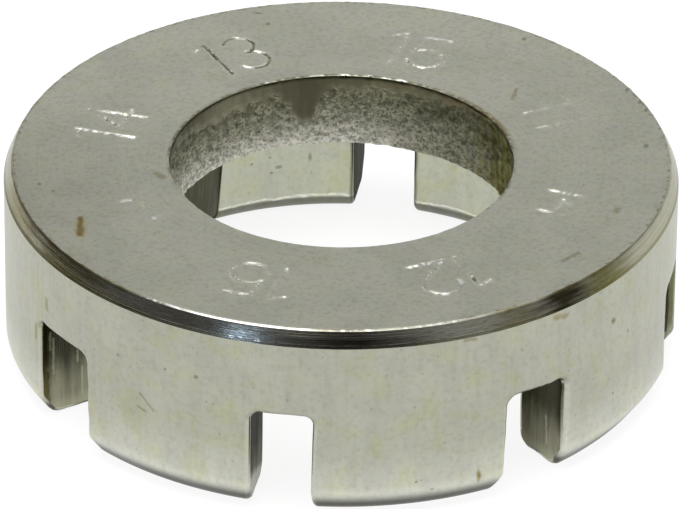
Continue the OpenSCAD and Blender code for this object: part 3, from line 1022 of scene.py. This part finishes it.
    # Painted shade: a dark strip runs down the wall beyond the slot on the right
    beyond = steel.azimuth.near(97.6, 3.2).rise(0.0, 0.35) * z.rise(6.3, 5.7) * upright.rise(0.2, 0.5)
    steel.stain((0.3, 0.3, 0.2), beyond * (1 - inside) * steel.x.rise(10.0, 12.0))
    height = steel.noise(1.6, 3.0) * 0.6 + mottle * 0.25 - specks * 0.5
    return steel.metal(look.wall_roughness + (clouds - 0.5) * 0.16 - wear_and_glint * 0.08, height, 0.02)


def turned_finish(name, look):
    """The turned face: fine rings round the axis, small pits and a few rust marks."""
    steel = Finish(name, look.face)
    wear_and_glint, tear = steel.mark("wear_and_glint"), steel.mark("tear")
    rings, wide_rings = steel.line_noise(steel.radius, 7.0, 3.0), steel.line_noise(steel.radius, 1.4)
    clouds, fine, beads = steel.noise(0.3, 4.0, 0.6), steel.noise(3.6, 4.0, 0.65), steel.noise(3.5)
    warm = steel.noise(0.7, 4.0, 0.65).red()
    pits = steel.pits(0.08, 0.93)
    top = sizes().height

    def face_strokes(ragged, *lines):
        """Strokes that lie on the face, so that they need no heights."""
        return steel.strokes(ragged, [(*line[:2], top, *line[2:4], top, line[4]) for line in lines])

    # Painted light: the back of the face is lighter
    steel.coat(tinted(look.face, 1.12), (steel.y - steel.x * 0.3).rise(-4.0, 16.0))
    steel.stain(0.93, clouds.rise(0.6, 0.4))
    steel.stain((0.98, 0.955, 1.0), warm.rise(0.52, 0.62) * 0.7)
    steel.stain((0.98, 0.98, 0.89), warm.rise(0.48, 0.38) * 0.6)
    steel.stain(0.96, rings.rise(0.35, 0.65))
    steel.stain((0.85, 0.85, 0.84), fine.rise(0.45, 0.68))
    steel.stain((0.87, 0.87, 0.85), (0 - steel.x).rise(8.0, 17.0) * steel.y.rise(4.0, -6.0))
    brown = face_strokes(0.25, (-12.42, -8.6, -12.15, -10.15, 0.22), (-12.2, -9.6, -12.08, -10.3, 0.28))
    faint = face_strokes(
        0.5, (13.2, -8.25, 13.85, -7.3, 0.2), (8.0, 9.3, 7.95, 8.2, 0.15), (-9.4, -3.3, -9.0, -3.6, 0.3),
        (15.2, -2.7, 15.25, -2.4, 0.24))
    halo = face_strokes(0.4, (-12.3, -9.0, -12.1, -10.3, 0.55))
    # Brown along the right of the hole's edge, and old oil along the face's own edge except at the front
    brown = brown * (0.75 + beads * 0.4)
    browned = steel.radius.rise(9.58, 9.38) * steel.azimuth.near(130, 34)
    faint = faint.highest(browned * beads.rise(0.35, 0.5) * 1.6)
    grime = steel.radius.rise(17.25, 17.5) * beads.rise(0.5, 0.64) * abs(steel.azimuth).rise(26, 34)
    # Painted highlights: the edges shine in beads, except at the left of the front, and the numerals glint
    stamped = steel.radius.rise(17.2, 17.0) * steel.radius.rise(9.7, 9.9)
    shine = wear_and_glint * beads.rise(0.36, 0.5).highest(steel.azimuth.near(-10, 15).rise(0.0, 0.4).highest(stamped))
    dark = steel.spots(0.35, [(x, y, top, wide, long, 0.5) for x, y, wide, long in (
        (15.76, 4.48, 0.17, 0.3), (7.54, 14.93, 0.16, 0.2), (-15.29, -5.55, 0.14, 0.16),
        (-14.41, -6.13, 0.12, 0.16), (-6.55, 13.97, 0.14, 0.2), (-7.32, 15.1, 0.3, 0.12),
        (13.9, 10.34, 0.12, 0.3), (14.78, 9.17, 0.12, 0.3), (15.22, 8.36, 0.12, 0.26))])
    steel.coat(BRIGHT, (shine * 0.95).highest(tear * 0.38))
    steel.coat(look.dirt, (dark * 0.55).highest(pits * 0.3))
    steel.coat(look.oil, (steel.mark("dirt") * 0.9).highest(grime * 0.7))
    steel.stain((1.0, 0.88, 0.6), halo * 0.6)
    steel.stain(look.rust, brown.highest(faint * 0.5))
    height = rings * 0.2 + wide_rings * 0.25 + fine * 0.3 - pits * 0.4
    rough = look.face_roughness + (fine - 0.5) * 0.12 - shine.highest(tear * 0.7) * 0.26
    return steel.metal(rough, height, 0.012)


def chamfer_finish(name, look):
    """The turned chamfer: rings and long streaks, old oil and painted shade on both sides of the front, a
    black stain.
    """
    steel = Finish(name, tinted(look.chamfer, 0.85))
    z, azimuth = steel.z, steel.azimuth
    across = z - steel.radius
    # Along the chamfer a degree is about a third of a millimetre
    drawn = steel.node("ShaderNodeCombineXYZ", None, (azimuth * 0.32, across * 6, 0.0))
    rings = steel.line_noise(across, 9.0, 3.0)
    broken, fine = steel.noise(0.8, 3.0, place=drawn), steel.noise(1.6, 4.0, 0.7, place=drawn)
    streaks = steel.noise(0.4, 5.0, 0.7, place=drawn)
    steel.coat(tinted(look.chamfer, 1.08), rings.rise(0.35, 0.65))
    # The streaks fade towards the sides
    sides = abs(azimuth).rise(56, 72)
    steel.stain((0.55, 0.52, 0.4), fine.rise(0.45, 0.65) * (0.8 - sides * 0.6))
    steel.stain((0.86, 0.87, 0.78), sides)
    # Stains, and painted shade where the chamfer reflects a darker room
    for middle, reach, ragged, left in CHAMFER_STAINS_AND_SHADES:
        steel.stain(left, (abs(azimuth - middle) / reach + (streaks - 0.5) * ragged).rise(1.25, 0.1))
    # Painted shade on the lower part of the chamfer, to the left and to the right of the front
    steel.stain((0.38, 0.37, 0.27), z.rise(10.62, 10.36) * azimuth.rise(-12, -30))
    steel.stain((0.66, 0.66, 0.55), z.rise(10.6, 10.38) * azimuth.rise(14, 26))
    # Painted glints on the chamfer, and painted highlights on the rim in beads, even at the left of the front
    glint_spots = steel.spots(0.2, (
        (-2.65, -17.75, 10.46, 0.2, 0.2, 0.07), (-2.17, -17.82, 10.5, 0.14, 0.2, 0.06),
        (-1.23, -17.88, 10.45, 0.2, 0.2, 0.09)))
    beads = steel.noise(3.5).rise(0.4, 0.54)
    shine = steel.mark("wear_and_glint") * beads.highest(azimuth.near(-10, 15).rise(0.0, 0.4))
    steel.coat(BRIGHT, (shine * 0.9).highest(glint_spots * 0.8))
    steel.coat(look.oil, steel.mark("dirt") * 0.85)
    rough = look.chamfer_roughness + (broken - 0.5) * 0.12
    return steel.metal(rough, rings * 0.7 + broken * 0.4, 0.012, edge=0.8)


def punched_finish(name, look):
    """The hole: a dark burnished band with upright smears, and bright torn grains below it."""
    steel = Finish(name, tinted(look.band, 0.88))
    x, z, azimuth, tear = steel.x, steel.z, steel.azimuth, steel.mark("tear")
    smears = steel.noise(2.5, 3.0, upright=0.1)
    bent = steel.vector("MULTIPLY", steel.noise(6.0).out("Color"), (0.12, 0.12, 0.12))
    bent = steel.vector("ADD", steel.place, bent)
    cells = steel.node("ShaderNodeTexVoronoi", None, {"Vector": bent, "Scale": 7.0})
    grains = cells.red() * 0.35 + steel.noise(9.0, 3.0, 0.7) * 0.65
    lumps = steel.noise(0.9, 3.0)
    steel.coat(tinted(look.band, 1.1), smears.rise(0.3, 0.7))
    steel.coat(tinted(look.band, 0.5), z.rise(10.9, 11.1))
    steel.stain((0.8, 0.78, 0.7), x.rise(-5.0, 2.0))
    steel.stain((0.72, 0.72, 0.68), azimuth.near(-160, 30))
    steel.coat(tinted(look.band, 1.7), azimuth.near(-128, 12) * 0.4)
    steel.stain((0.85, 0.62, 0.32), azimuth.near(128, 30) * 1.6)
    band, steel.tint = steel.tint, tinted(look.torn, 0.45)
    steel.coat(tinted(look.torn, 1.5), grains.rise(0.28, 0.72))
    steel.coat(tinted(look.torn, 0.55), lumps.rise(0.4, 0.65) * 0.4)
    steel.stain((0.6, 0.6, 0.5), z.rise(8.4, 9.9) * 0.8)
    # Painted light: the grains at the foot are brighter, most of all on the left, and painted shade darkens
    # the right
    lit = z.rise(8.6, 7.0) * x.rise(5.0, -2.0)
    steel.coat((0.78, 0.76, 0.68), lit * (0.35 + grains.rise(0.35, 0.6) * 0.5))
    steel.stain((0.72, 0.72, 0.68), x.rise(-1.0, 5.0))
    steel.tint = steel.mix(tear, band, steel.tint)
    # Old oil has run down on the right
    stain = (azimuth + (lumps - 0.5) * 30).near(110, 36).rise(0.0, 0.5)
    stain = stain * steel.noise(1.8, 3.0, upright=0.25).rise(0.25, 0.5)
    runs = steel.noise(3.0, 3.0, upright=0.12).rise(0.35, 0.65)
    steel.coat(steel.mix(runs, (0.045, 0.042, 0.015), (0.24, 0.235, 0.07)), stain * 0.65)
    steel.stain((0.85, 0.84, 0.45), stain)
    steel.coat(tinted(look.band, 0.35), steel.mark("dirt") * 0.7)
    # Painted glints along the burr
    steel.coat(BRIGHT, steel.mark("wear_and_glint") * 0.9)
    height = grains * tear + smears * (1 - tear) * 0.15
    return steel.metal(0.3 + tear * 0.14 + (grains - 0.5) * 0.2, height, 0.08, edge=0.8)


def broached_finish(name, look):
    """The cut sides of the slots, with upright tool marks, darkened by painted shade towards the root."""
    steel = Finish(name, tinted(look.slot, 0.82))
    mm, x, z = sizes(), steel.x, steel.z
    marks, wide = steel.noise(4.0, 4.0, 0.7, upright=0.04), steel.noise(1.3, 3.0, upright=0.08)
    blotches = steel.noise(1.2, 4.0, 0.65, upright=0.4)
    scores = steel.strokes(0.9, (
        (12.76, -10.18, 2.8, 12.84, -10.26, 1.2, 0.09), (-13.7, -10.56, 5.1, -13.7, -10.56, 4.1, 0.1),
        (-13.58, -10.43, 4.7, -13.58, -10.43, 2.6, 0.1), (-12.5, -9.35, 3.5, -12.5, -9.35, 2.8, 0.08),
        (-12.3, -9.15, 2.4, -12.3, -9.15, 0.7, 0.08)))
    steel.coat(tinted(look.slot, 1.2), marks.rise(0.3, 0.7))
    steel.coat(tinted(look.slot, 0.6), wide.rise(0.45, 0.7) * 0.35)
    # Painted shade darkens the sides towards the root, and those of the slots behind nearly to their feet
    behind = steel.y.rise(-4.0, 3.0)
    dark = (z + (wide - 0.5) * 2 + (blotches - 0.5) * 2.5 + behind * 3.5).rise(1.0, 4.0)
    steel.coat(tinted(look.slot, 0.18), dark * (0.88 - behind * x.rise(-4.0, -8.0) * 0.22))
    # Painted light near the feet of the slots in front
    steel.coat(tinted(look.slot, 1.8), z.rise(1.2, 0.3) * (1 - behind) * 0.5)
    steel.coat(tinted(look.slot, 1.8), scores * 0.5)
    steel.stain((0.85, 0.85, 0.8), x.rise(-9.0, -10.0))
    # Painted shade over the inner part of the sides on the right
    steel.stain((0.5, 0.5, 0.47), steel.radius.rise(16.8, 14.9) * x.rise(8.0, 9.0))
    # Brown oil along the outer edges, most of all on the left
    oiled = (steel.radius + (blotches - 0.5) * 1.2).rise(17.2, 17.5) * (0.35 + x.rise(-9.0, -10.0) * 0.65)
    steel.stain((0.45, 0.41, 0.25), oiled)
    # Painted shade: a dark line follows the inner edges, the round at the foot and the end
    inward = (mm.inner_radius + mm.foot_round - steel.radius).highest(0)
    under = (mm.foot_round - z).highest(0)
    steel.stain((0.3, 0.3, 0.26), (inward * inward + under * under).rise(0.5, 0.68))
    # Painted light: the foot of the front slot's left side is lighter and less metallic
    front = steel.y.rise(-13.5, -14.5) * x.rise(2.0, -1.0)
    bare_and_lit = front * (z - (steel.radius - mm.inner_radius) * 0.44 + (blotches - 0.5)).rise(0.7, 0.0)
    steel.coat((0.7, 0.7, 0.6), bare_and_lit)
    return steel.metal(0.32 + (wide - 0.5) * 0.2, marks, 0.03, 1 - bare_and_lit * 0.7, 0.3)


FINISH_MAKERS = {
    "satin_plating": plated_finish, "turned_face": turned_finish, "turned_chamfer": chamfer_finish,
    "punched_hole": punched_finish, "broached_slot": broached_finish}


def finishes():
    """The steel finishes in the order of the material slots, made when they are first asked for."""
    look = bpy.context.scene.wrench_finish
    return [bpy.data.materials.get(name) or make(name, look) for name, make in FINISH_MAKERS.items()]


def camera_axes(stage):
    """The camera's right, up and back directions as photographed."""
    e, r = stage.camera_elevation, stage.camera_roll
    axes = (
        (math.cos(r), -math.sin(r) * math.sin(e), -math.sin(r) * math.cos(e)),
        (math.sin(r), math.cos(r) * math.sin(e), math.cos(r) * math.cos(e)),
        (0, -math.cos(e), math.sin(e)))
    turn = Matrix.Rotation(stage.camera_azimuth, 3, "Z")
    return [turn @ Vector(axis) for axis in axes]


def place_camera(stage):
    """A long lens, at the photograph's angle, with the face's centre where it is in the picture."""
    right, up, back = camera_axes(stage)
    lens = bpy.data.cameras.new("photo_lens")
    lens.lens, lens.sensor_width, lens.clip_end = LENS, SENSOR, FAR_CLIP
    camera = placed("photo_camera", lens)
    aside = (right * CAMERA_LEFT + up * CAMERA_DOWN) * CAD_HIGH.x
    at = Vector((0, 0, CAD_HIGH.z)) + back * stage.camera_distance - aside
    camera.matrix_world = Matrix.Translation(at) @ Matrix((right, up, back)).transposed().to_4x4()
    bpy.context.scene.camera = camera


def hang_lamp(name, at, size, power, tint):
    """A soft square lamp that faces the wrench."""
    lamp = bpy.data.lights.new(name, "AREA")
    lamp.color, lamp.energy = tint, power
    lamp.shape, lamp.size, lamp.size_y = "RECTANGLE", *size
    panel = placed(name, lamp)
    panel.location = at
    panel.rotation_euler = (-Vector(at)).to_track_quat("-Z", "Y").to_euler()


class WRENCH_OT_lay_stage(bpy.types.Operator):
    """Lay a pale floor, a soft room and lamps, and place the camera"""

    bl_idname = "wrench.lay_stage"
    bl_label = "Stage"

    def execute(self, context):
        stage = context.scene.wrench_stage
        context.scene.view_settings.view_transform = "Standard"
        place_camera(stage)
        self.lay_floor(stage)
        self.paint_room(stage)
        for lamp in LAMPS:
            hang_lamp(*lamp)
        return {"FINISHED"}

    def lay_floor(self, stage):
        """A pale floor that the camera and reflections see as nearly white, with soft shadows."""
        reach = FLOOR_REACH
        mesh = bpy.data.meshes.new("floor")
        corners = [(-reach, -reach, 0), (reach, -reach, 0), (reach, reach, 0), (-reach, reach, 0)]
        mesh.from_pydata(corners, [], [(0, 1, 2, 3)])
        floor = placed("pale_floor", mesh)
        floor.location.z = CAD_LOW.z - FLOOR_GAP
        material = bpy.data.materials.new("pale_floor")
        material.use_nodes = True
        nodes = Nodes(material.node_tree)
        path = nodes.node("ShaderNodeLightPath")
        seen = reduce(Value.highest, [
            path.out(f"Is {kind} Ray") for kind in ("Camera", "Glossy", "Transmission")])
        paint = nodes.node("ShaderNodeBsdfDiffuse", None, {"Color": stage.floor})
        glow = nodes.node("ShaderNodeEmission", None, {"Color": (1, 1, 1), "Strength": FLOOR_GLOW})
        shade = nodes.node("ShaderNodeBsdfDiffuse", None, {"Color": tinted(stage.floor, FLOOR_SHADE)})
        lit = nodes.node("ShaderNodeAddShader", None, (shade, glow))
        nodes.end("ShaderNodeOutputMaterial", nodes.node("ShaderNodeMixShader", None, (seen, paint, lit)))
        mesh.materials.append(material)

    def paint_room(self, stage):
        """A grey room with a white backdrop, brighter overhead, and dark where the photographer stands."""
        world = bpy.data.worlds.new("soft_room")
        world.use_nodes = True
        bpy.context.scene.world = world
        nodes = Nodes(world.node_tree)
        way = nodes.node("ShaderNodeTexCoord", None, (), "Generated")
        up = nodes.node("ShaderNodeSeparateXYZ", None, (way,), 2)
        back = camera_axes(stage)[2]
        front = Vector((back.x, back.y, 0)).normalized()

        def towards(degrees):
            """How far a ray goes that way, which is turned from the photographer towards the right."""
            aim = Matrix.Rotation(math.radians(degrees), 3, "Z") @ front
            return nodes.vector("DOT_PRODUCT", way, aim, output="Value")

        # A white backdrop behind the wrench, which is half as bright higher up
        backdrop = towards(160).rise(-0.05, 1.0) * (0.42 + up.rise(0.5, 0.3) * 0.45)
        walls = 0.13 + backdrop.highest(towards(90).rise(0.2, 0.65) * 0.25)
        walls = walls * (1 - towards(3).rise(0.84, 0.93) * 0.95)
        ceiling = up.rise(0.6, 0.92)
        level = (walls * (1 - ceiling) + ceiling * 1.5) * stage.room
        sky = nodes.node("ShaderNodeBackground", None, {"Color": (1, 1, 1), "Strength": level})
        nodes.end("ShaderNodeOutputWorld", sky)


class WRENCH_OT_make_face_ring(bpy.types.Operator):
    """Make the face ring: turned face, numerals, punched hole, chamfer and upper wall"""

    bl_idname = "wrench.make_face_ring"
    bl_label = "Face ring"

    def execute(self, context):
        face_ring_skin(sizes()).piece("face_ring")
        return {"FINISHED"}


class WRENCH_OT_make_jaws(bpy.types.Operator):
    """Make the eight jaws that stand between the slots"""

    bl_idname = "wrench.make_jaws"
    bl_label = "Jaws"

    def execute(self, context):
        mm = sizes()
        for i, node in enumerate(JAWS):
            jaw_skin(mm, i).piece(node)
        return {"FINISHED"}


class VIEW3D_PT_wrench(bpy.types.Panel):
    """Sizes, colours and makers of the wrench"""

    bl_label = "Spoke wrench"
    bl_space_type = "VIEW_3D"
    bl_region_type = "UI"
    bl_category = "Wrench"

    def draw(self, context):
        for operator in OPERATORS:
            self.layout.operator(operator.bl_idname)
        for name, group in GROUPS.items():
            box = self.layout.box()
            box.label(text=group.__doc__)
            for entry in group.__annotations__:
                box.prop(getattr(context.scene, name), entry)


OPERATORS = (WRENCH_OT_make_face_ring, WRENCH_OT_make_jaws, WRENCH_OT_lay_stage)
GROUPS = {"wrench_shape": WrenchShape, "wrench_finish": WrenchFinish, "wrench_stage": WrenchStage}
CLASSES = (*GROUPS.values(), *OPERATORS, VIEW3D_PT_wrench)


def register():
    for kind in CLASSES:
        bpy.utils.register_class(kind)
    for name, group in GROUPS.items():
        setattr(bpy.types.Scene, name, PointerProperty(type=group))


def unregister():
    for name in GROUPS:
        delattr(bpy.types.Scene, name)
    for kind in reversed(CLASSES):
        bpy.utils.unregister_class(kind)


def main():
    register()
    bpy.ops.wrench.make_face_ring()
    bpy.ops.wrench.make_jaws()
    bpy.ops.wrench.lay_stage()
    bpy.context.view_layer.update()


if __name__ == "__main__":
    main()
